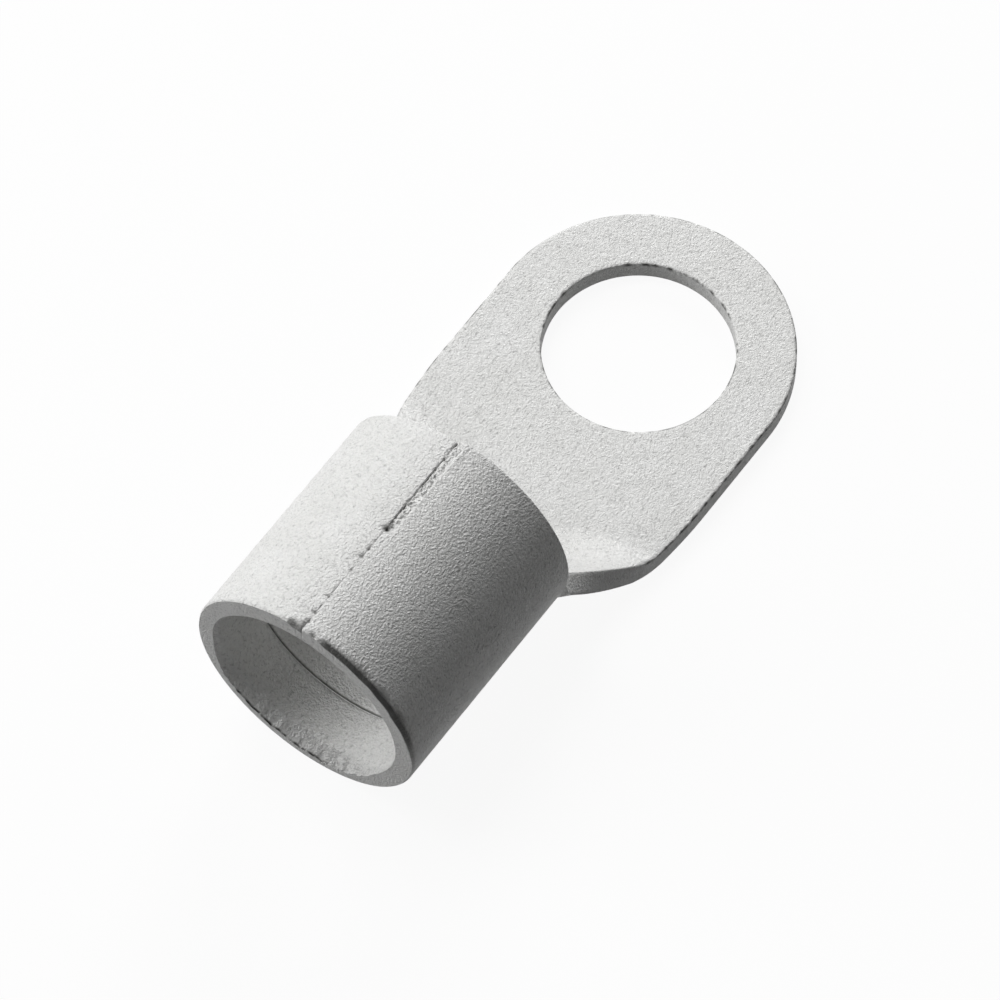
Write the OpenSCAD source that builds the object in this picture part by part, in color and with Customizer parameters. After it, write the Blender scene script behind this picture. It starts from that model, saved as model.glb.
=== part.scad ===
// Ring terminal, uninsulated: a barrel rolled from thin sheet with a brazed
// butt seam, and a flat tongue with a round end and a stud hole.
// It is stamped and rolled from one blank, so it is one solid.
//
// Millimetres. X runs along the barrel from its mouth to the tongue, Z is up
// through the seam, and the origin is the centre of the barrel's mouth.

/* [Sheet] */
// Thickness of the blank, in the barrel's wall and in the tongue alike
sheet = 1.5; // [0.9:0.05:2.4]

/* [Barrel] */
// Outside diameter of the rolled barrel
barrel_od = 17.0; // [14:0.1:22]
// Length from the mouth to the rim that faces the tongue
barrel_len = 17.0; // [10:0.5:30]
// Length of the broken outer edge at the mouth
outer_break_len = 0.33; // [0.1:0.01:0.6]
// Height of the broken outer edge at the mouth
outer_break_rise = 0.14; // [0.05:0.01:0.3]
// From the mouth to the grip line that runs round the bore
grip_line_from_mouth = 4.2; // [1:0.1:8]
// Width of the grip line
grip_line_width = 0.24; // [0.1:0.02:0.6]
// Depth of the grip line
grip_line_depth = 0.1; // [0.04:0.01:0.3]

/* [Seam] */
// Width of the groove that the brazed joint leaves along the top
seam_width = 0.36; // [0.1:0.02:0.8]
// Depth of that groove
seam_depth = 0.14; // [0.05:0.01:0.3]

/* [Tongue] */
// Width of the flat tongue, which is also the diameter of its round end
tongue_width = 21.0; // [17:0.5:26]
// Diameter of the stud hole
hole_d = 13.0; // [6:0.1:15]
// From the barrel's rim to the centre of the stud hole
hole_from_rim = 20.0; // [18:0.5:30]

/* [Neck] */
// From the barrel's rim to the farthest points of the two fold lines
neck_len = 7.0; // [5:0.1:8]
// Width of the blank where its neck leaves the barrel
waist_width = 19.4; // [16:0.1:20]
// Length over which the waist eases out to the tongue's full width
shoulder_len = 11.3; // [6:0.1:13]
// Radius of the blank's inner corners, where the waist meets the barrel
corner_r = 1.0; // [0.4:0.1:1.8]
// Radius of the arcs that the fold lines follow
fold_r = 8.2; // [7.5:0.1:12]
// From the middle out to where each fold line lies farthest from the barrel
fold_out = 8.2; // [6:0.1:9.5]
// How softly the sheet turns at a fold line, as a share of the neck
fold_softness = 0.08; // [0.04:0.01:0.15]
// Share of the flanks' rise that is even: the rest steepens towards the barrel
even_rise = 0.6; // [0.3:0.05:1]

/* [Smoothness] */
// Steps along the flanks, from the inner corner to the fold line
flank_steps = 6; // [4:1:12]
// Steps from the middle of the neck to each edge
across_steps = 16; // [10:1:24]
// Steps along each shoulder of the tongue
shoulder_steps = 8; // [4:1:16]

/* [Hidden] */
$fn = 128;
tin = [0.80, 0.80, 0.79];

barrel_r = barrel_od / 2;
bore_r = barrel_r - sheet;
mid_r = barrel_r - sheet / 2;      // radius of the sheet's middle layer
half_w = tongue_width / 2;
half_waist = waist_width / 2;
rim_x = barrel_len;
hole_x = rim_x + hole_from_rim;
waist_x = rim_x + corner_r;        // past this the inner corners have ended
shoulder_x = waist_x + shoulder_len;
over = 1;                          // cutters pass this far beyond a face
lap = 0.3;                         // the neck reaches this far into the barrel
inset = 0.03;                      // and lies this much inside its faces there
flat_x = rim_x + neck_len * (1 + fold_softness) + lap;   // the tongue's flat start

// ---- the barrel ----------------------------------------------------------

module along_x(x) translate([x, 0, 0]) rotate([0, 90, 0]) children();

module barrel() {
    difference() {
        along_x(0) cylinder(r = barrel_r, h = barrel_len);
        along_x(-over) cylinder(r = bore_r, h = barrel_len + 2 * over);
        broken_outer_edge();
        grip_line();
        seam_groove();
    }
}

// The cutter is carried on past the mouth at its own slope, so that it clears
// the end face.
module broken_outer_edge() {
    slope = outer_break_rise / outer_break_len;
    difference() {
        along_x(-over) cylinder(r = barrel_r + over, h = over + outer_break_len);
        along_x(-over)
            cylinder(r1 = barrel_r - outer_break_rise - over * slope, r2 = barrel_r,
                     h = over + outer_break_len);
    }
}

// A fine groove pressed into the blank before rolling, to bite on the strands.
module grip_line() {
    along_x(grip_line_from_mouth)
        cylinder(r = bore_r + grip_line_depth, h = grip_line_width);
}

module seam_groove() {
    translate([-over, -seam_width / 2, barrel_r - seam_depth])
        cube([barrel_len + 2 * over, seam_width, seam_depth + over]);
}

// ---- the blank's width ---------------------------------------------------

// The blank eases from its waist to the tongue's full width.
function half_strip(x) =
    let (u = min(1, max(0, (x - waist_x) / shoulder_len)))
    half_waist + (half_w - half_waist) * (3 - 2 * u) * u * u;

// What the inner corner adds to that, right against the barrel's rim.
function corner(x) =
    let (d = min(corner_r, max(0, x - rim_x)))
    corner_r - sqrt(corner_r * corner_r - pow(corner_r - d, 2));

// ---- the tongue ----------------------------------------------------------

module tongue() {
    n = shoulder_steps;
    xs = [for (i = [0 : n]) flat_x + (shoulder_x - flat_x) * i / n];
    translate([0, 0, -barrel_r])
        difference() {
            linear_extrude(sheet) union() {
                polygon(concat([for (i = [0 : n]) [xs[i], -half_strip(xs[i])]],
                               [[hole_x, -half_w], [hole_x, half_w]],
                               [for (i = [n : -1 : 0]) [xs[i], half_strip(xs[i])]]));
                translate([hole_x, 0]) circle(r = half_w);
            }
            translate([hole_x, 0, -over]) cylinder(d = hole_d, h = sheet + 2 * over);
        }
}

// ---- the neck ------------------------------------------------------------
// Past two curved fold lines the sheet is flat. Between them and the barrel
// each flank is drawn up along straight runs, one from every point of the fold
// line to the point of the barrel's arc that it grew from.

// where the run that starts s from the middle meets its fold line
function fold_x(s) =
    let (out = abs(s) - fold_out)
    rim_x + max(lap, neck_len - fold_r + sqrt(max(0, fold_r * fold_r - out * out)));

// how far the sheet has risen, from 0 past the fold line to 1 at the rim, for a
// place that is a share v of the way from the fold line to the rim
function rise(v) =
    let (w = fold_softness,
         q = v > w ? min(1, v) : v < -w ? 0 : (v + w) * (v + w) / (4 * w))
    even_rise * q + (1 - even_rise) * q * q;

// a point of the sheet's middle layer
function middle(x, s) =
    let (a = abs(s), turn = a / mid_r * 180 / PI,
         q = rise((fold_x(s) - x) / (fold_x(s) - rim_x)),
         y = a - q * (a - mid_r * sin(turn)))
    [x, s < 0 ? -y : y, -mid_r * (1 - q * (1 - cos(turn)))];

function unit(v) = v / norm(v);

// the way out of the sheet: square to it, and against the rim square to the
// barrel, so that the neck grows out of the barrel's wall
function way_out(x, s) =
    let (d = 0.01, u = min(1, max(0, (x - rim_x) / corner_r)), w = (3 - 2 * u) * u * u,
         along = middle(x + d, s) - middle(x - d, s),
         across = middle(x, s + d) - middle(x, s - d))
    unit((1 - w) * unit(cross([1, 0, 0], across)) + w * unit(cross(along, across)));

function at(x, s, h) = middle(x, s) + h * way_out(x, s);

// a closed ring of points that all lie a share v of the way to the rim: along
// the top of the sheet and back underneath
function ring(v) =
    let (edge_x = rim_x + (1 - v) * (fold_x(half_waist) - rim_x), in = v < 1 ? 0 : inset,
         w = half_strip(edge_x) + corner(edge_x) - in, n = across_steps,
         h = sheet / 2 - in,
         s = [for (i = [-n : n]) w * i / n],
         x = [for (p = s) rim_x + (1 - v) * (fold_x(p) - rim_x)])
    concat([for (i = [0 : 2 * n]) at(x[i], s[i], h)],
           [for (i = [2 * n : -1 : 0]) at(x[i], s[i], -h)]);

// a straight ring, for the neck's two ends
function end_ring(x, w, h) =
    let (n = across_steps)
    concat([for (i = [-n : n]) at(x, w * i / n, h)],
           [for (i = [n : -1 : -n]) at(x, w * i / n, -h)]);

// shares at which rings lie: round the inner corner, up the flank, and close
// together where the sheet turns at the fold line
corner_share = corner_r / (fold_x(half_waist) - rim_x);
shares = concat(
    [for (a = [0 : 15 : 75]) 1 - corner_share * (1 - cos(a))],
    [for (i = [0 : flank_steps - 1])
        1 - corner_share - (1 - corner_share - fold_softness) * i / flank_steps],
    [for (i = [2 : -1 : -2]) fold_softness * i / 2]);

module neck() {
    rings = concat([end_ring(rim_x - lap, half_waist + corner_r - inset, sheet / 2 - inset)],
                   [for (v = shares) ring(v)],
                   [end_ring(flat_x, half_strip(flat_x), sheet / 2)]);
    n = len(rings[0]);
    last = len(rings) - 1;
    sides = [for (j = [0 : last - 1], i = [0 : n - 1])
        let (a = j * n + i, b = j * n + (i + 1) % n, c = b + n, d = a + n)
        each [[a, b, c], [a, c, d]]];
    ends = [for (i = [0 : n / 2 - 2])
        let (a = i, b = i + 1, c = n - 2 - i, d = n - 1 - i, e = last * n)
        each [[a, d, c], [a, c, b], [e + a, e + b, e + c], [e + a, e + c, e + d]]];
    polyhedron(points = [for (r = rings) each r], faces = concat(sides, ends), convexity = 8);
}

module ring_terminal() {
    color(tin) union() {
        barrel();
        neck();
        tongue();
    }
}

ring_terminal();
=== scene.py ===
# %% [markdown]
# # An uninsulated ring terminal, stamped and rolled from one blank of tinned sheet
#
# A heavy-duty terminal starts as a flat blank: a wide strip that will be the
# barrel, a narrower neck, and a tongue with a round end and a stud hole. A press
# cuts the blank, rolls the wide strip until its long edges meet, and brazes them.
# The lesson follows that order: cut the blank, wear its edges, roll it, plate it.
#
# The imported part gives the frame that everything is made in. Its box is kept
# from the start, and the floor is later laid at its lowest point.

# %% Load the imported part
import math

import bpy
import numpy as np
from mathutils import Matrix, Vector, noise
from mathutils.geometry import delaunay_2d_cdt
from mathutils.kdtree import KDTree


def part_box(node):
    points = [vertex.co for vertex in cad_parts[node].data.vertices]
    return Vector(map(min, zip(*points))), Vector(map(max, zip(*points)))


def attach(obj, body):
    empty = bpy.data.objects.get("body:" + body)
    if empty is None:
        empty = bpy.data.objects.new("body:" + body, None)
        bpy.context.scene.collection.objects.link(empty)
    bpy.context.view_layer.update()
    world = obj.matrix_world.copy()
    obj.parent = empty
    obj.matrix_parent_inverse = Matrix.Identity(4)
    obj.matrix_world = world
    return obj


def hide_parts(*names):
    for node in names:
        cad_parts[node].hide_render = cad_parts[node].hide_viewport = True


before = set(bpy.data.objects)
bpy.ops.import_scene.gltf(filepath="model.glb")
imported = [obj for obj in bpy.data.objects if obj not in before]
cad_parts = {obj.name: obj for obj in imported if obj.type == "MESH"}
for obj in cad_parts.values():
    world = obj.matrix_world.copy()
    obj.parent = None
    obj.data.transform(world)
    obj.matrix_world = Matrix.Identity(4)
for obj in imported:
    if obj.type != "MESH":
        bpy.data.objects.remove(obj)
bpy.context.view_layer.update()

terminal_low, terminal_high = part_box("ring_terminal")
print("the packed terminal reaches from", tuple(terminal_low), "to", tuple(terminal_high))

# %% [markdown]
# ## The blank's sizes
#
# The blank is laid out flat, in millimetres: x runs along it from the barrel's
# mouth, s across it from the middle line, and h through the sheet, from -0.75 at
# the face that ends up outside the barrel to +0.75 at the face that ends up in
# the bore and on top of the tongue. Lengths across the sheet are those of its
# middle layer, because rolling neither stretches nor shortens that layer.

# %% Sizes in millimetres
MM = 0.001

SHEET = 1.5
BARREL_R = 8.5
BARREL_LEN = 17.0
MID_R = BARREL_R - SHEET / 2
SEAM_S = math.pi * MID_R          # half of the barrel's developed width

NECK_LEN = 7.0                    # from the rim to the farthest points of the fold lines
HALF_W = 10.5
HALF_WAIST = 9.7
SHOULDER_LEN = 11.3               # over which the waist eases out to the full width
CORNER_R = 1.0
FOLD_R = 8.2                      # radius of the arcs that the fold lines follow
FOLD_OUT = 8.2                    # how far from the middle those arcs lie farthest out
FOLD_SOFTNESS = 0.08              # how softly the sheet turns at a fold line, as a share of the run
EDGE_SOFTNESS = 1.6               # how much softer than that it turns at the blank's cut edges
EVEN_RISE = 0.6                   # this share of a flank's rise is even, and the rest quickens

HOLE_X = 37.0
HOLE_R = 6.5
print("developed width of the barrel:", round(2 * SEAM_S, 2), "mm")


def half_strip(x):
    """Half the blank's width past the barrel, easing from the waist to the tongue."""
    u = min(1.0, max(0.0, (x - BARREL_LEN - CORNER_R) / SHOULDER_LEN))
    return HALF_WAIST + (HALF_W - HALF_WAIST) * (3 - 2 * u) * u * u


# %% [markdown]
# ## The cut line
#
# The outline could be traced with a Bezier curve, but every stretch of it is a
# line, an arc or the eased waist, so it is written as such. The two long edges
# that will meet in the seam are given a slight waver, because a butt joint never
# closes evenly, and the blank's four outer corners are knocked off a little.

# %% Walk round the blank
STEP = 0.16                       # spacing of points along every cut edge
SEAM_STEP = 0.09                  # and along the two edges that meet in the seam
SHORT_HALF = 0.2                  # the barrel's rim falls back this far on the +Y half
KNOCK = 0.10                      # radius of the blank's outer corners at the rim
MOUTH_KNOCK = 0.04                # and at the mouth


def line(a, b):
    """Evenly spaced points from a towards b, leaving out b."""
    n = max(2, round(math.dist(a, b) / STEP))
    return [(a[0] + (b[0] - a[0]) * i / n, a[1] + (b[1] - a[1]) * i / n) for i in range(n)]


def arc(centre, radius, start, end):
    """Points from angle start to angle end in degrees, leaving out the last."""
    n = max(3, round(abs(math.radians(end - start)) * radius / STEP))
    turn = [math.radians(start + (end - start) * i / n) for i in range(n)]
    return [(centre[0] + radius * math.cos(a), centre[1] + radius * math.sin(a)) for a in turn]


def waver(x, seed, scale, depth):
    """A smooth uneven line: how far it strays at x, at most about depth."""
    return depth * noise.noise(Vector((x / scale, seed, 0.7)))


def seam_edge(x, side):
    """How far the long edge on one side lies from the middle line at x."""
    gap = 0.004 + max(0.0, waver(x, 3.1 * side, 1.3, 0.02))
    return SEAM_S - gap


def half_outline(side):
    """The outline's half on one side, from the mouth's middle to the ring's tip."""
    rim = BARREL_LEN - (SHORT_HALF if side > 0 else 0.0)
    pts = line((0, 0), (0, SEAM_S - MOUTH_KNOCK))
    pts += arc((MOUTH_KNOCK, SEAM_S - MOUTH_KNOCK), MOUTH_KNOCK, 180, 90)
    straight = rim - KNOCK - MOUTH_KNOCK
    n = round(straight / SEAM_STEP)
    xs = [MOUTH_KNOCK + straight * i / n for i in range(n)]
    pts += [(x, seam_edge(x, side)) for x in xs]
    pts += arc((rim - KNOCK, SEAM_S - KNOCK), KNOCK, 90, 0)
    inner = HALF_WAIST + CORNER_R
    pts += line((rim, SEAM_S - KNOCK), (rim, inner))
    pts += arc((rim + CORNER_R, inner), CORNER_R, 180, 270)
    start = rim + CORNER_R
    n = round((HOLE_X - start) / STEP)
    xs = [start + (HOLE_X - start) * i / n for i in range(n)]
    pts += [(x, half_strip(x)) for x in xs]
    pts += arc((HOLE_X, 0), HALF_W, 90, 0) + [(HOLE_X + HALF_W, 0)]
    return [(x, side * s) for x, s in pts]


upper = half_outline(1)
lower = half_outline(-1)
outline = np.array(lower + upper[::-1][1:-1])        # anticlockwise
hole = np.array(arc((HOLE_X, 0), HOLE_R, 360, 0))    # clockwise, so metal lies on its left too
print("cut edge:", len(outline), "points outside,", len(hole), "round the stud hole")

# %% [markdown]
# ## Worn and sheared edges
#
# A punch pulls the sheet's top face down a little before it cuts, which leaves a
# rolled-over edge, then a sheared wall, and a crisp lower edge. The barrel's mouth
# has a broken outer edge so that it does not dig into the cable's jacket, and the
# brazed seam has rounded lips. A Bevel modifier would round every edge alike, so
# each point of the cut line gets its own four sizes instead: how wide and how deep
# the edge is rounded above and below. Where the mouth is worn is told by stretches
# across the blank. Each stretch has four places: where the wear starts, where it is
# full, where it starts to fade and where it ends.

# %% Give every point of the cut line its rounding
BROKEN_INSIDE = (-6.5, -3.0, 7.0, 12.0)      # the bore's lower lip, chipped
WORN_INSIDE = (-9.0, -5.0, 14.0, 19.0)       # and worn down on both sides of that
CRUSHED_OUTSIDE = (-23.3, -22.6, -14.5, -11.5)
NICK_OUTSIDE = (23.2, 23.6, 24.3, 24.9)      # at the seam, on its +Y side


def smooth(u):
    """0 below 0, 1 above 1, and an even S between."""
    u = min(1.0, max(0.0, u))
    return (3 - 2 * u) * u * u


def window(value, starts, full, fades, ends):
    """0 outside the stretch, 1 where it is full, and smooth on the way."""
    return smooth((value - starts) / (full - starts)) * smooth((ends - value) / (ends - fades))


def edge_wear(x, s):
    """Rounding as (top width, top depth, bottom width, bottom depth), in mm."""
    if abs(s) > SEAM_S - 0.2 and 0.1 < x < BARREL_LEN - 0.3:      # the seam has a form of its own
        return 0.10, 0.08, 0.03, 0.004
    if x < 0.3:                                                   # round the mouth
        ragged = waver(s, 4.4, 0.45, 0.20) + waver(s, 8.1, 0.16, 0.12)
        broken, worn = window(s, *BROKEN_INSIDE), window(s, *WORN_INSIDE)
        crushed = window(s, *CRUSHED_OUTSIDE) * (1 + waver(s, 9.3, 0.9, 0.45))
        nick = window(s, *NICK_OUTSIDE)
        return (0.16 + 0.20 * worn + 0.50 * broken, 0.10 + 0.22 * worn + broken * max(0.0, 0.52 + ragged),
                0.15 + 0.25 * crushed + 0.25 * nick, 0.09 + 0.24 * crushed + 0.30 * nick)
    if x < BARREL_LEN + 0.05 and abs(s) > HALF_WAIST:             # round the far rim
        nick = window(abs(s), SEAM_S - 0.5, SEAM_S - 0.25, SEAM_S, SEAM_S + 1)
        rubbed = 0.06 if s > 0 else 0.0                           # the half that falls back
        return 0.08, 0.07, 0.10 + 0.20 * nick + rubbed, 0.08 + 0.18 * nick + rubbed
    return 0.20, 0.10 + waver(x + s, 2.0, 0.6, 0.03), 0.07, 0.05  # neck, tongue and hole


wear = np.array([edge_wear(x, s) for x, s in np.vstack([outline, hole])])
print("deepest rounding:", wear[:, 1].max().round(3), "mm inside,", wear[:, 3].max().round(3), "mm outside")

# %% [markdown]
# ## Filling the blank with faces
#
# A bend needs many small faces, and a worn edge needs rows of them close to the
# cut. Filling the outline and subdividing it would leave long slivers there. So
# Blender's constrained triangulation takes the cut line, rows of points at set
# distances inside it, a few rows where a line is scored, and an even lattice
# between, and joins them into neat triangles.

# %% Distances from the cut
def closed_normals(loop):
    """Directions square to a closed loop, to the left of the way round: into the metal."""
    t = np.roll(loop, -1, 0) - np.roll(loop, 1, 0)
    t /= np.linalg.norm(t, axis=1)[:, None]
    return np.c_[-t[:, 1], t[:, 0]]


cut = np.vstack([outline, hole])
inward = np.vstack([closed_normals(outline), closed_normals(hole)])
follow = np.r_[np.roll(np.arange(len(outline)), -1),
               len(outline) + np.roll(np.arange(len(hole)), -1)]
before = np.r_[np.roll(np.arange(len(outline)), 1),
               len(outline) + np.roll(np.arange(len(hole)), 1)]

tree = KDTree(len(cut))
for i, p in enumerate(cut):
    tree.insert((p[0], p[1], 0), i)
tree.balance()


def from_cut(points):
    """Distance of each point from the cut line, and the nearest point of that line."""
    dist, near = np.empty(len(points)), np.empty(len(points), int)
    for k, p in enumerate(points):
        _, i, _ = tree.find((p[0], p[1], 0))
        near[k] = i
        best = 9e9
        for j in (before[i], i):
            a, b = cut[j], cut[follow[j]]
            ab = b - a
            f = min(1.0, max(0.0, ((p - a) @ ab) / (ab @ ab)))
            best = min(best, math.dist(p, a + f * ab))
        dist[k] = best
    return dist, near


probe, _ = from_cut(np.array([(HOLE_X - HOLE_R - 2, 0.0)]))
print("a place 2 mm short of the stud hole lies", probe[0].round(2), "mm from the cut")

# %% Rows of points along the cut
ROWS = (0.03, 0.075, 0.14, 0.24, 0.38)              # distances in from the cut
SEAM_ROWS = (0.19, 0.31, 0.46, 0.53, 0.60, 0.68)    # more of them on the seam's rough side
ROUGH_WIDTH = 0.76                                  # where the lattice takes over there
rough_side = (cut[:, 1] < -SEAM_S + 0.2) & (cut[:, 0] > 1) & (cut[:, 0] < BARREL_LEN - 0.6)
rows = np.vstack([cut + inward * d for d in ROWS]
                 + [cut[rough_side] + inward[rough_side] * d for d in SEAM_ROWS])
want = np.r_[np.repeat(ROWS, len(cut)), np.repeat(SEAM_ROWS, rough_side.sum())]
got, _ = from_cut(rows)
rows = rows[got > 0.85 * want]
print(len(rows), "points in rows")

# %% An even lattice between, and the score lines
LATTICE = 0.245

xs = np.arange(0, HOLE_X + HALF_W, LATTICE * math.sqrt(3) / 2)
lattice = np.array([(x, s) for k, x in enumerate(xs)
                    for s in np.arange(-SEAM_S + (k % 2) * LATTICE / 2, SEAM_S, LATTICE)
                    if x < BARREL_LEN or abs(s) < half_strip(x)])
inside = np.hypot(lattice[:, 0] - HOLE_X, lattice[:, 1])
lattice = lattice[(inside > HOLE_R) & ((lattice[:, 0] < HOLE_X) | (inside < HALF_W))]
got, _ = from_cut(lattice)
lattice = lattice[got > ROWS[-1] + 0.4 * LATTICE]
lattice = lattice[(lattice[:, 1] > -SEAM_S + ROUGH_WIDTH) | (lattice[:, 0] > BARREL_LEN)]

GRIP_X = 4.2                      # where the grip line starts
GRIP_MID = GRIP_X + 0.08          # and where it is deepest
score = [GRIP_X + d for d in (-0.2, -0.12, -0.06, 0.0, 0.04, 0.08, 0.12, 0.17, 0.28)]
lattice = lattice[(lattice[:, 0] < score[0] - 0.1) | (lattice[:, 0] > score[-1] + 0.1)]
scored = np.array([(x, s) for x in score for s in np.arange(-SEAM_S + 0.85, SEAM_S - 0.5, LATTICE)])
print(len(lattice), "points in the lattice,", len(scored), "along the grip line")

# %% Triangulate
flat = np.vstack([cut, rows, lattice, scored])
edges = [(i, int(follow[i])) for i in range(len(cut))]
verts, _, tris, _, _, _ = delaunay_2d_cdt([Vector(p) for p in flat], edges, [], 0, 1e-7)
assert len(verts) == len(flat), "the triangulation merged some points"


def in_metal(p):
    """Whether a place lies on the metal's side of the nearest cut."""
    _, i, _ = tree.find((p[0], p[1], 0))
    return (p - cut[i]) @ inward[i] > 0


tris = np.array([t for t in tris if in_metal(flat[list(t)].mean(0))])
dist, near = from_cut(flat)
dist[:len(cut)] = 0
print(len(flat), "points and", len(tris), "triangles in each face of the blank")

# %% [markdown]
# ## Both faces of the sheet
#
# The same triangles serve for the upper and the lower face. What differs is how
# deep each face lies under its nominal height: rounded edges, the grip line that
# bites on the strands, and the ragged lips of the braze are all written as depth.
# A Solidify modifier would thicken the sheet faster, but would give both faces the
# same relief.

# %% How deep an edge or a scored line lies
def rounding(d, width, depth):
    """Quarter of an ellipse: full depth at the cut, nothing past its width."""
    q = np.clip(1 - d / width, 0, 1)
    return depth * (1 - np.sqrt(np.maximum(0, 1 - q * q)))


def bevel(d, width, depth):
    """A straight slope from the cut inwards."""
    return depth * np.clip(1 - d / width, 0, 1)


def grip_line(x):
    """The scored line's depth, with a lip thrown up on its mouth side."""
    groove = np.clip(1 - np.abs(x - GRIP_MID) / 0.09, 0, 1)
    lip = np.exp(-((x - GRIP_X + 0.06) / 0.05) ** 2)
    return 0.13 * groove - 0.045 * lip


print("grip line", round(float(grip_line(np.array([GRIP_MID]))[0]), 3), "mm deep")

# %% How deep the seam lies
PITS = (  # along x, across from the seam towards +Y, radius, depth
    (9.0, -0.05, 0.20, 0.26), (9.35, -0.22, 0.14, 0.12), (7.15, 0.02, 0.10, 0.12),
    (6.45, 0.03, 0.13, 0.14), (6.3, 0.42, 0.16, 0.05), (5.3, 0.0, 0.09, 0.10),
    (2.9, -0.02, 0.12, 0.10), (1.5, 0.04, 0.13, 0.16), (0.75, 0.02, 0.14, 0.16),
    (0.12, -0.78, 0.16, 0.20), (2.3, -2.9, 0.10, 0.05), (3.6, -3.4, 0.09, 0.05),
)


def seam_form(x, t):
    """How deep the outside lies near the seam, t being the distance from it towards +Y.

    Towards the mouth the joint is a fine broken line. From a deep pit at mid length
    on it is a rough trough that the braze did not fill, with a lip on its -Y side.
    """
    far = smooth((x - 8.8) / 0.5) * smooth((BARREL_LEN - 0.05 - x) / 0.1)
    broken = max(0.0, 0.1 + 1.6 * noise.noise(Vector((x / 0.45, 1.7, 0.2))))
    course = waver(x, 6.6, 0.5, 0.06)
    line = (0.08 * broken * (1 - far) + 0.08 * far * (0.6 + broken)) * math.exp(-((t - course) / 0.05) ** 2)
    grain = noise.noise(Vector((x / 0.14, t / 0.12, 3.3)))
    grain += 0.5 * noise.noise(Vector((x / 0.3, t / 0.25, 5.1)))
    trough = far * smooth((t + 0.56) / 0.10) * smooth((0.06 - t) / 0.08)
    lip = far * math.exp(-((t + 0.60) / 0.08) ** 2) * (0.4 + 0.6 * smooth((x - 12) / 4))
    return line + trough * (0.06 + 0.11 * grain) - 0.035 * lip


def pits(x, t):
    """How deep the pits are at x, t from the seam."""
    return sum(depth * math.exp(-((x - at) ** 2 + (t - off) ** 2) / radius ** 2)
               for at, off, radius, depth in PITS)


print(len(PITS), "pits, the deepest", round(pits(9.0, -0.05), 2), "mm deep")

# %% Add up the depths of both faces
w = wear[near]
mouth_edge = (flat[near][:, 0] < 0.3) & (np.abs(flat[near][:, 1]) < SEAM_S - 0.3)
top_depth = np.where(mouth_edge, bevel(dist, w[:, 0], w[:, 1]), rounding(dist, w[:, 0], w[:, 1]))
top_depth += grip_line(flat[:, 0]) * (dist > 0.3)
bottom_depth = np.where(mouth_edge, bevel(dist, w[:, 2], w[:, 3]), rounding(dist, w[:, 2], w[:, 3]))
for k in np.flatnonzero((flat[:, 0] < BARREL_LEN) & (np.abs(flat[:, 1]) > SEAM_S - 4)):
    x, s = flat[k]
    t = (SEAM_S - abs(s)) * (1 if s > 0 else -1)
    bottom_depth[k] += seam_form(x, t) + pits(x, t)
print(int((bottom_depth > 0.05).sum()), "points of the outer face lie deeper than 0.05 mm")

# %% Dents, and a torn line inside the mouth
ROUGH_FLOOR = ((-1, 0.2, 2.2, 4.0), (-9.0, -6.0, 1.0, 4.0))    # of the bore: along x, across s
TORN = (-3.0, -0.5, 5.0, 8.0)                                  # the stretch with the torn line


def dented(x, s, side):
    """Shallow dents from tumbling against other terminals, in mm."""
    coarse = noise.noise(Vector((x / 0.9, s / 0.9, 7.0 * side)))
    fine = noise.noise(Vector((x / 0.42, s / 0.42, 4.0 * side)))
    rough = 0.0
    if side > 0 and x < 5:
        place = window(x, *ROUGH_FLOOR[0]) * window(s, *ROUGH_FLOOR[1])
        rough = place * noise.noise(Vector((x / 0.26, s / 0.26, 6.6)))
    return 0.007 * coarse + 0.006 * fine + 0.05 * rough


torn = [window(s, *TORN) * max(0.0, 1.0 + 2.5 * waver(s, 6.2, 0.35, 1.0)) for x, s in cut]
torn = np.array(torn)[near] * (cut[near][:, 0] < 0.3) * np.exp(-((dist - 0.05) / 0.04) ** 2)
top_depth += 0.10 * torn
top_depth += [dented(x, s, 1) for x, s in flat]
bottom_depth += [dented(x, s, -1) for x, s in flat]
print("the faces lie up to", top_depth.max().round(3), "and", bottom_depth.max().round(3), "mm deep")

# %% [markdown]
# ## Painted shade
#
# Dark grey is painted into the colour where shade falls: in the torn and scored lines,
# in pits, in the seam's trough, under crushed metal and along the lips of the cut edges.
# A noise in the material could darken places at random, but this painted shade belongs
# to the very marks made above. So each point of the blank carries an amount as an
# attribute, 0 being unshaded and 1 fully shaded, and the material reads it.

# %% Where shade is painted
RAGGED_CUT = (22.0, 24.0, 90, 91)         # along x: the tongue's edges and the hole's, whose rolled-over lips get painted shade

# Painted shade: the grip line's groove is darkened in the colour as if shade lay in it.
in_groove = np.clip(1 - np.abs(flat[:, 0] - GRIP_MID) / 0.08, 0, 1)
# Painted shade along the rolled-over top lips of the tongue's and the hole's cut edges, which lie in
# shadow.
ragged = [window(x, *RAGGED_CUT) * max(0.0, 0.45 + 2.5 * waver(x + 2 * s, 7.7, 0.4, 1.0)) for x, s in cut]
ragged = np.array(ragged)[near] * np.exp(-(dist / 0.09) ** 2)
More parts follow.
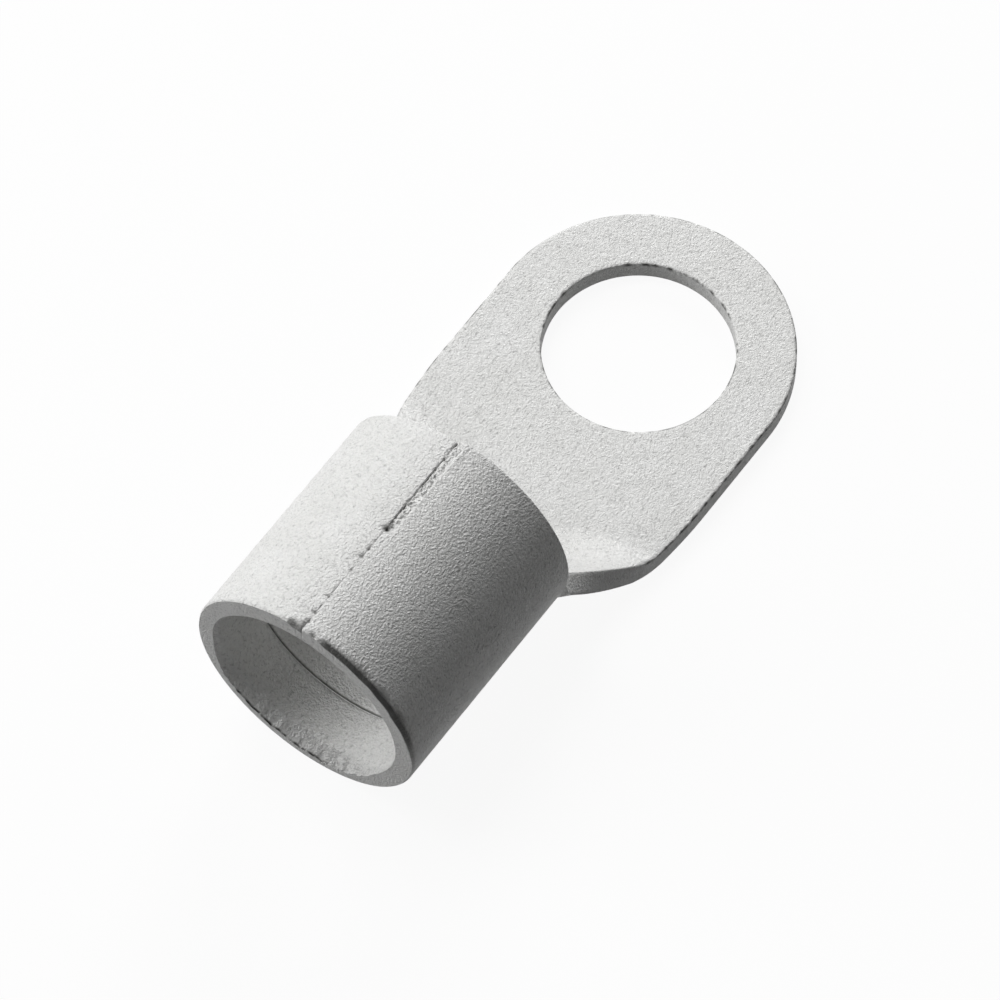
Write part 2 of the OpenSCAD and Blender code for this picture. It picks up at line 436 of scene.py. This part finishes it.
# The torn line inside the mouth gets painted shade on top of its depth, and the groove and lips add theirs.
painted_shade_top = np.clip(np.clip(torn + 0.8 * in_groove, 0, 1) + 0.8 * ragged, 0, 1)
painted_shade_bottom = np.zeros(len(flat))
for k in np.flatnonzero(flat[:, 0] < BARREL_LEN + 0.1):
    x, s = flat[k]
    # Painted shade in the pits, and wherever the seam's trough lies deep.
    if abs(s) > SEAM_S - 4:
        t = (SEAM_S - abs(s)) * (1 if s > 0 else -1)
        painted_shade_bottom[k] = 4.0 * pits(x, t) + max(0.0, 7.0 * (seam_form(x, t) - 0.07))
    if x < 0.6:
        # Painted shade under the crushed lip of the mouth and in the nick by the seam.
        under = min(1.0, max(0.0, 3.0 - 3.0 * dist[k] / w[k, 2]))
        painted_shade_bottom[k] += 0.95 * window(s, *CRUSHED_OUTSIDE) * under
        painted_shade_bottom[k] += 0.8 * window(s, *NICK_OUTSIDE) * math.exp(-(dist[k] / 0.35) ** 4)
painted_shade_bottom = np.clip(painted_shade_bottom, 0, 1)
print("grimy points:", int((painted_shade_top > 0.3).sum()), "above and", int((painted_shade_bottom > 0.3).sum()), "below")

# %% [markdown]
# ## The sheared wall
#
# Where the punch went through, the wall is burnished at first and torn farther
# down, with fine marks that run through the sheet. Bridging the two faces would
# give one flat band. So the wall is built of rows, and each stands out a little,
# by one noise that is the same all the way down and one that grows towards the
# lower face.

# %% The sheared wall
WALL_ROWS = 7


def shear_marks(i, f):
    """How far the wall stands out at cut point i, a share f of the way down."""
    x, s = cut[i]
    along = noise.noise(Vector((x * 2.6, s * 2.6, 0.2)))
    broken = noise.noise(Vector((x * 3.5, s * 3.5, f * 3.0)))
    return (0.012 * along + 0.014 * broken * f) * math.sin(math.pi * f)


top = np.c_[flat, SHEET / 2 - top_depth]
bottom = np.c_[flat, -SHEET / 2 + bottom_depth]
wall = []
for k in range(1, WALL_ROWS):
    f = k / WALL_ROWS
    for i in range(len(cut)):
        out = shear_marks(i, f)
        wall.append((*(cut[i] - inward[i] * out), top[i, 2] * (1 - f) + bottom[i, 2] * f))
blank = np.vstack([top, bottom, np.array(wall)])


def wall_row(k, i):
    """The index of cut point i in row k of the wall; the faces hold the first and last rows."""
    if k == 0:
        return i
    if k == WALL_ROWS:
        return len(flat) + i
    return 2 * len(flat) + (k - 1) * len(cut) + i


faces = [tuple(t) for t in tris] + [tuple(t[::-1] + len(flat)) for t in tris]
for k in range(WALL_ROWS):
    for i in range(len(cut)):
        j = int(follow[i])
        faces.append((wall_row(k, i), wall_row(k + 1, i), wall_row(k + 1, j), wall_row(k, j)))
print(len(blank), "points,", 2 * len(tris) + 2 * WALL_ROWS * len(cut), "triangles in the blank")

# %% Make the flat blank
mesh = bpy.data.meshes.new("terminal")
mesh.from_pydata((blank * MM).tolist(), [], faces)
mesh.validate()
mesh.shade_smooth()

wall_painted_shade = []                   # a little painted shade on the wall too, where a face's edge is fully shaded
for k in range(1, WALL_ROWS):
    f = k / WALL_ROWS
    full = painted_shade_top[:len(cut)] * (1 - f) + painted_shade_bottom[:len(cut)] * f > 0.9
    wall_painted_shade.append(0.3 * full)
# Each point's amount of painted shade, for the material to read.
amounts = np.concatenate([painted_shade_top, painted_shade_bottom, *wall_painted_shade]).astype(np.float32)
mesh.attributes.new("painted_shade_amount", "FLOAT", "POINT").data.foreach_set("value", amounts)

terminal = bpy.data.objects.new("terminal", mesh)
bpy.context.scene.collection.objects.link(terminal)
print("flat blank:", len(mesh.vertices), "points,", len(mesh.polygons), "faces")

# %% [markdown]
# ## The tin plate
#
# Electro-tinned copper that has been tumbled has a soft, silvery white finish
# covered in tiny worm-like dents. Three noises give its relief: ridged worms,
# a finer peel, and a grain that also breaks up the sheen. The colour is a pale
# cloud with darker specks, and turns to dark grey where the blank carries painted shade.
# A picture of metal could be wrapped on, but it would stretch in the neck, and
# noises on the object's own coordinates do not. A noise of scale 3400 has about so
# many dents to the metre, which makes each of them 0.3 mm wide.

# %% Helpers for node trees
def new_material(name):
    """A node material with nothing in it yet, and its tree."""
    mat = bpy.data.materials.new(name)
    mat.use_nodes = True
    mat.node_tree.nodes.clear()
    return mat, mat.node_tree


def add(tree, kind, **values):
    """A new node, each value set as its property or, failing that, as its input."""
    node = tree.nodes.new(kind)
    for key, value in values.items():
        if hasattr(node, key):
            setattr(node, key, value)
        else:
            node.inputs[key.replace("_", " ")].default_value = value
    return node


def ramp(tree, source, stops):
    """A colour ramp on source; each stop is a place and a grey or a colour."""
    node = add(tree, "ShaderNodeValToRGB")
    tree.links.new(source, node.inputs[0])
    while len(node.color_ramp.elements) < len(stops):
        node.color_ramp.elements.new(0.5)
    for element, (at, value) in zip(node.color_ramp.elements, stops):
        element.position = at
        element.color = value if isinstance(value, tuple) else (value, value, value, 1)
    return node.outputs[0]


print("three helpers for materials")

# %% Colour of the tin plate
tin, tin_tree = new_material("tin_plate")
link = tin_tree.links.new
place = add(tin_tree, "ShaderNodeTexCoord").outputs["Object"]


def noise_field(**values):
    """A noise on the object's own coordinates; returns its height."""
    node = add(tin_tree, "ShaderNodeTexNoise", **values)
    link(place, node.inputs["Vector"])
    return node.outputs[0]


cloud = noise_field(Scale=260.0, Detail=3.0)
specks = noise_field(Scale=4200.0, Detail=2.0, Roughness=0.6, Distortion=0.6)
pale = ramp(tin_tree, cloud, [(0.3, (0.79, 0.79, 0.775, 1)), (0.7, (0.84, 0.84, 0.83, 1))])
speckled = add(tin_tree, "ShaderNodeMix", data_type="RGBA", blend_type="MULTIPLY")
speckled.inputs[0].default_value = 1.0
link(pale, speckled.inputs[6])
link(ramp(tin_tree, specks, [(0.25, 0.62), (0.42, 0.92), (0.6, 1.0)]), speckled.inputs[7])

# The painted shade: where the blank's amount says shade falls, the colour turns to dark grey.
shaded = add(tin_tree, "ShaderNodeAttribute", attribute_name="painted_shade_amount")
colour = add(tin_tree, "ShaderNodeMix", data_type="RGBA")
link(shaded.outputs["Fac"], colour.inputs[0])
link(speckled.outputs[2], colour.inputs[6])
colour.inputs[7].default_value = (0.09, 0.09, 0.085, 1)
print("colour of the tin plate:", len(tin_tree.nodes), "nodes")

# %% Sheen and relief of the tin plate
worms = noise_field(noise_type="RIDGED_MULTIFRACTAL", Scale=3400.0, Detail=3.0, Roughness=0.5,
                    Distortion=0.3, Offset=0.9, Gain=1.5)
peel = noise_field(Scale=6200.0, Detail=1.0, Roughness=0.5, Distortion=0.3)
grain = noise_field(Scale=11000.0, Detail=0.0)

# The tongue took fewer knocks than the barrel, so its relief is weaker.
along_x = add(tin_tree, "ShaderNodeSeparateXYZ")
link(place, along_x.inputs[0])
tumbled = add(tin_tree, "ShaderNodeMapRange", From_Min=BARREL_LEN * MM, From_Max=(BARREL_LEN + 3) * MM,
              To_Min=1.0, To_Max=0.6)
link(along_x.outputs["X"], tumbled.inputs["Value"])

surface = add(tin_tree, "ShaderNodeBsdfPrincipled", Metallic=0.08)
surface.inputs["Specular IOR Level"].default_value = 0.3
link(colour.outputs[2], surface.inputs["Base Color"])
link(ramp(tin_tree, grain, [(0.3, 0.36), (0.7, 0.56)]), surface.inputs["Roughness"])

relief = None
for height, depth, strength in ((worms, 0.018, tumbled), (peel, 0.08, tumbled), (grain, 0.02, None)):
    bump = add(tin_tree, "ShaderNodeBump", Strength=1.0, Distance=depth * MM)
    link(height, bump.inputs["Height"])
    if strength:
        link(strength.outputs[0], bump.inputs["Strength"])
    if relief:
        link(relief, bump.inputs["Normal"])
    relief = bump.outputs[0]
link(relief, surface.inputs["Normal"])
out = add(tin_tree, "ShaderNodeOutputMaterial")
link(surface.outputs[0], out.inputs[0])
print("tin plate:", len(tin_tree.nodes), "nodes")

# %% [markdown]
# ## Rolling and drawing the blank
#
# A Simple Deform modifier can roll a strip, but the neck turns by another amount at
# every place. The press does follow one rule, so it is a Geometry Nodes tree. A
# place on the blank can be said twice: where it would lie if the sheet were flat,
# and where it would lie on the barrel's circle. The tree blends the two. The share
# is 1 on the barrel and 0 past the two curved fold lines, and between them it
# grows along straight runs, which is how a real neck is drawn up. The sheet's
# thickness is then added square to the bent middle layer, so it stays even.
# Each size is a named input of the tree.

# %% Inputs of the press
roll = bpy.data.node_groups.new("roll_the_blank", "GeometryNodeTree")
roll.is_modifier = True
face = roll.interface
face.new_socket("Blank", in_out="INPUT", socket_type="NodeSocketGeometry")
ROLL_SIZES = {
    "Middle radius": MID_R * MM, "Rim": BARREL_LEN * MM, "Neck length": NECK_LEN * MM,
    "Corner radius": CORNER_R * MM, "Fold radius": FOLD_R * MM, "Fold out": FOLD_OUT * MM,
    "Fold softness": FOLD_SOFTNESS, "Softer at the edges": EDGE_SOFTNESS, "Even rise": EVEN_RISE,
}
for name in ROLL_SIZES:
    face.new_socket(name, in_out="INPUT", socket_type="NodeSocketFloat")
face.new_socket("Plating", in_out="INPUT", socket_type="NodeSocketMaterial")
face.new_socket("Terminal", in_out="OUTPUT", socket_type="NodeSocketGeometry")
given = roll.nodes.new("NodeGroupInput")
size = {name: given.outputs[name] for name in ROLL_SIZES}


def calc(operation, *values):
    """A math node fed with sockets or plain numbers; returns its result."""
    node = roll.nodes.new("ShaderNodeMath")
    node.operation = operation
    for socket, value in zip(node.inputs, values):
        if isinstance(value, (int, float)):
            socket.default_value = value
        else:
            roll.links.new(value, socket)
    return node.outputs[0]


def vector(operation, *values):
    """The same for vectors, where SCALE takes a vector and a number."""
    node = roll.nodes.new("ShaderNodeVectorMath")
    node.operation = operation
    sockets = (node.inputs[0], node.inputs["Scale"]) if operation == "SCALE" else node.inputs
    for socket, value in zip(sockets, values):
        if isinstance(value, tuple):
            socket.default_value = value
        else:
            roll.links.new(value, socket)
    return node.outputs[0]


def clamp01(value):
    """The value, held between 0 and 1."""
    return calc("MINIMUM", 1.0, calc("MAXIMUM", 0.0, value))


def point(x, y, z):
    """The three numbers as one vector."""
    node = roll.nodes.new("ShaderNodeCombineXYZ")
    for value, socket in zip((x, y, z), node.inputs):
        roll.links.new(value, socket)
    return node.outputs[0]


print("the press has", len(ROLL_SIZES), "sizes")

# %% The middle layer, bent
SOFTER_FROM, SOFTER_OVER = 6.0, 4.0    # mm from the middle; the fold grows softer over the second
SHORTEST_RUN = 0.3                     # mm; no run from a fold line to the rim is shorter


def middle(x, s):
    """Where the point x along and s across the blank's middle layer ends up."""
    out_s = calc("ABSOLUTE", s)
    off = calc("SUBTRACT", out_s, size["Fold out"])
    reach = calc("SQRT", calc("MAXIMUM", 0.0, calc("SUBTRACT", calc("POWER", size["Fold radius"], 2.0),
                                                   calc("MULTIPLY", off, off))))
    run = calc("MAXIMUM", SHORTEST_RUN * MM, calc("ADD", reach, calc("SUBTRACT", size["Neck length"],
                                                                     size["Fold radius"])))
    v = calc("SUBTRACT", 1.0, calc("DIVIDE", calc("SUBTRACT", x, size["Rim"]), run))
    to_edge = clamp01(calc("DIVIDE", calc("SUBTRACT", out_s, SOFTER_FROM * MM), SOFTER_OVER * MM))
    softness = calc("MULTIPLY", size["Fold softness"],
                    calc("ADD", 1.0, calc("MULTIPLY", size["Softer at the edges"],
                                          calc("MULTIPLY", to_edge, to_edge))))
    soft = calc("MAXIMUM", 0.0, calc("ADD", v, softness))
    bend = calc("DIVIDE", calc("MULTIPLY", soft, soft), calc("MULTIPLY", 4.0, softness))
    past = calc("GREATER_THAN", v, softness)
    q = calc("ADD", calc("MULTIPLY", past, calc("MINIMUM", 1.0, v)),
             calc("MULTIPLY", calc("SUBTRACT", 1.0, past), bend))
    share = calc("ADD", calc("MULTIPLY", size["Even rise"], q),
                 calc("MULTIPLY", calc("SUBTRACT", 1.0, size["Even rise"]), calc("MULTIPLY", q, q)))
    turn = calc("DIVIDE", out_s, size["Middle radius"])
    on_circle = calc("MULTIPLY", size["Middle radius"], calc("SINE", turn))
    y = calc("SUBTRACT", out_s, calc("MULTIPLY", share, calc("SUBTRACT", out_s, on_circle)))
    lift = calc("MULTIPLY", share, calc("SUBTRACT", 1.0, calc("COSINE", turn)))
    z = calc("MULTIPLY", size["Middle radius"], calc("SUBTRACT", lift, 1.0))
    return point(x, calc("MULTIPLY", y, calc("SIGN", s)), z)


on_blank = roll.nodes.new("GeometryNodeInputPosition")
split = roll.nodes.new("ShaderNodeSeparateXYZ")
roll.links.new(on_blank.outputs[0], split.inputs[0])
x, s, h = split.outputs
here = middle(x, s)
print("the bend takes", len(roll.nodes), "nodes")

# %% Square to it, the sheet's thickness
NUDGE = 0.02 * MM                 # two places so far apart give the slope between them
across = vector("SUBTRACT", middle(x, calc("ADD", s, NUDGE)), middle(x, calc("SUBTRACT", s, NUDGE)))
along = vector("SUBTRACT", middle(calc("ADD", x, NUDGE), s), middle(calc("SUBTRACT", x, NUDGE), s))
from_barrel = vector("NORMALIZE", vector("CROSS_PRODUCT", (1.0, 0.0, 0.0), across))
from_sheet = vector("NORMALIZE", vector("CROSS_PRODUCT", along, across))
u = clamp01(calc("DIVIDE", calc("SUBTRACT", x, size["Rim"]), size["Corner radius"]))
ease = calc("MULTIPLY", calc("SUBTRACT", 3.0, calc("MULTIPLY", 2.0, u)), calc("MULTIPLY", u, u))
way_out = vector("NORMALIZE", vector("ADD", vector("SCALE", from_barrel, calc("SUBTRACT", 1.0, ease)),
                                     vector("SCALE", from_sheet, ease)))
bent = vector("ADD", here, vector("SCALE", way_out, h))
print("the whole rule takes", len(roll.nodes), "nodes")

# %% The end of the tree
bend = roll.nodes.new("GeometryNodeSetPosition")
roll.links.new(given.outputs["Blank"], bend.inputs["Geometry"])
roll.links.new(bent, bend.inputs["Position"])
whole = roll.nodes.new("GeometryNodeRealizeInstances")
roll.links.new(bend.outputs[0], whole.inputs[0])
plate = roll.nodes.new("GeometryNodeSetMaterial")
roll.links.new(whole.outputs[0], plate.inputs["Geometry"])
roll.links.new(given.outputs["Plating"], plate.inputs["Material"])
done = roll.nodes.new("NodeGroupOutput")
roll.links.new(plate.outputs[0], done.inputs[0])
print("the press has", len(roll.nodes), "nodes in all")

# %% Roll it
SHARP = 40                        # degrees; a cut edge turns by more than this, a bend by less

press = terminal.modifiers.new("press", "NODES")
press.node_group = roll
socket_id = {item.name: item.identifier for item in face.items_tree if item.in_out == "INPUT"}
for name, value in ROLL_SIZES.items():
    press[socket_id[name]] = value
press[socket_id["Plating"]] = tin

rolled = terminal.evaluated_get(bpy.context.evaluated_depsgraph_get())
finished = bpy.data.meshes.new_from_object(rolled)
terminal.modifiers.clear()
terminal.data = finished
finished.name = "terminal_rolled"
finished.set_sharp_from_angle(angle=math.radians(SHARP))
size_now = np.array([v.co for v in finished.vertices])
print("rolled terminal:", (size_now.max(0) - size_now.min(0)).round(5).tolist(), "m,",
      len(finished.polygons), "faces")

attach(terminal, "root")
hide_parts("ring_terminal")

# %% [markdown]
# ## Floor, light and camera
#
# The terminal lies on white paper. Where the camera sees the paper, or the metal
# mirrors it, it mostly glows, so that nothing but a faint shadow marks it. To
# light that bounces, the paper is nearly black, which keeps the barrel's -Y side
# in shade. Four softboxes stand in an arc from the ring's tip round by +Y to the
# mouth, and the world adds a little grey from everywhere.

# %% Floor
FLOOR_BOUNCE = 0.08               # how much of the light the paper gives back
GLOW = 0.93                       # the share of it that glows where it is seen

floor_mesh = bpy.data.meshes.new("floor")
reach, ground = 1.5, terminal_low.z
floor_mesh.from_pydata([(-reach, -reach, ground), (reach, -reach, ground),
                        (reach, reach, ground), (-reach, reach, ground)], [], [(0, 1, 2, 3)])
floor = bpy.data.objects.new("floor", floor_mesh)
bpy.context.scene.collection.objects.link(floor)

paper, paper_tree = new_material("white_paper")
link = paper_tree.links.new
rays = add(paper_tree, "ShaderNodeLightPath")
seen = rays.outputs["Is Camera Ray"]
for other_ray in ("Is Glossy Ray", "Is Transmission Ray"):
    either = add(paper_tree, "ShaderNodeMath", operation="MAXIMUM")
    link(seen, either.inputs[0])
    link(rays.outputs[other_ray], either.inputs[1])
    seen = either.outputs[0]
share = add(paper_tree, "ShaderNodeMath", operation="MULTIPLY")
share.inputs[1].default_value = GLOW
link(seen, share.inputs[0])
diffuse = add(paper_tree, "ShaderNodeBsdfDiffuse")
link(ramp(paper_tree, seen, [(0.0, FLOOR_BOUNCE), (1.0, 0.95)]), diffuse.inputs["Color"])
glow = add(paper_tree, "ShaderNodeEmission", Color=(1, 1, 1, 1), Strength=1.0)
mix = add(paper_tree, "ShaderNodeMixShader")
link(share.outputs[0], mix.inputs[0])
link(diffuse.outputs[0], mix.inputs[1])
link(glow.outputs[0], mix.inputs[2])
out = add(paper_tree, "ShaderNodeOutputMaterial")
link(mix.outputs[0], out.inputs[0])
floor_mesh.materials.append(paper)
print("floor at", round(ground / MM, 2), "mm")

# %% Light
world = bpy.data.worlds.new("studio")
bpy.context.scene.world = world
world.use_nodes = True
world.node_tree.nodes["Background"].inputs["Color"].default_value = (0.04, 0.04, 0.04, 1)
world.node_tree.nodes["Background"].inputs["Strength"].default_value = 1.0

AIMED_AT = Vector((0.02, 0, 0))
SOFTBOX_SIZE = 0.25
SOFTBOXES = (                     # place in metres, and power in watts
    ("tip_softbox", (0.51, 0.23, 0.26), 1.95),
    ("top_softbox", (0.08, 0.26, 0.54), 1.3),
    ("side_softbox", (-0.13, 0.43, 0.39), 1.05),
    ("low_softbox", (-0.27, 0.51, 0.10), 0.95),
)
for name, at, power in SOFTBOXES:
    data = bpy.data.lights.new(name, "AREA")
    data.shape = "SQUARE"
    data.size, data.energy = SOFTBOX_SIZE, power
    lamp = bpy.data.objects.new(name, data)
    bpy.context.scene.collection.objects.link(lamp)
    lamp.location = at
    lamp.rotation_euler = (AIMED_AT - Vector(at)).to_track_quat("-Z", "Y").to_euler()
print(len(SOFTBOXES), "softboxes")

# %% Camera
scene = bpy.context.scene
camera_data = bpy.data.cameras.new("camera")
camera_data.sensor_width = 36
camera_data.lens = 267.13
camera = bpy.data.objects.new("camera", camera_data)
camera.location = (-0.17561, -0.14309, 0.41376)
camera.rotation_euler = tuple(math.radians(a) for a in (30.1553, 0.2017, -54.3297))
camera_data.clip_start, camera_data.clip_end = 0.01, 10
scene.collection.objects.link(camera)
scene.camera = camera
scene.view_settings.view_transform = "Standard"
print("lens", round(camera_data.lens, 1), "mm, from", round(camera.location.length, 3), "m off")
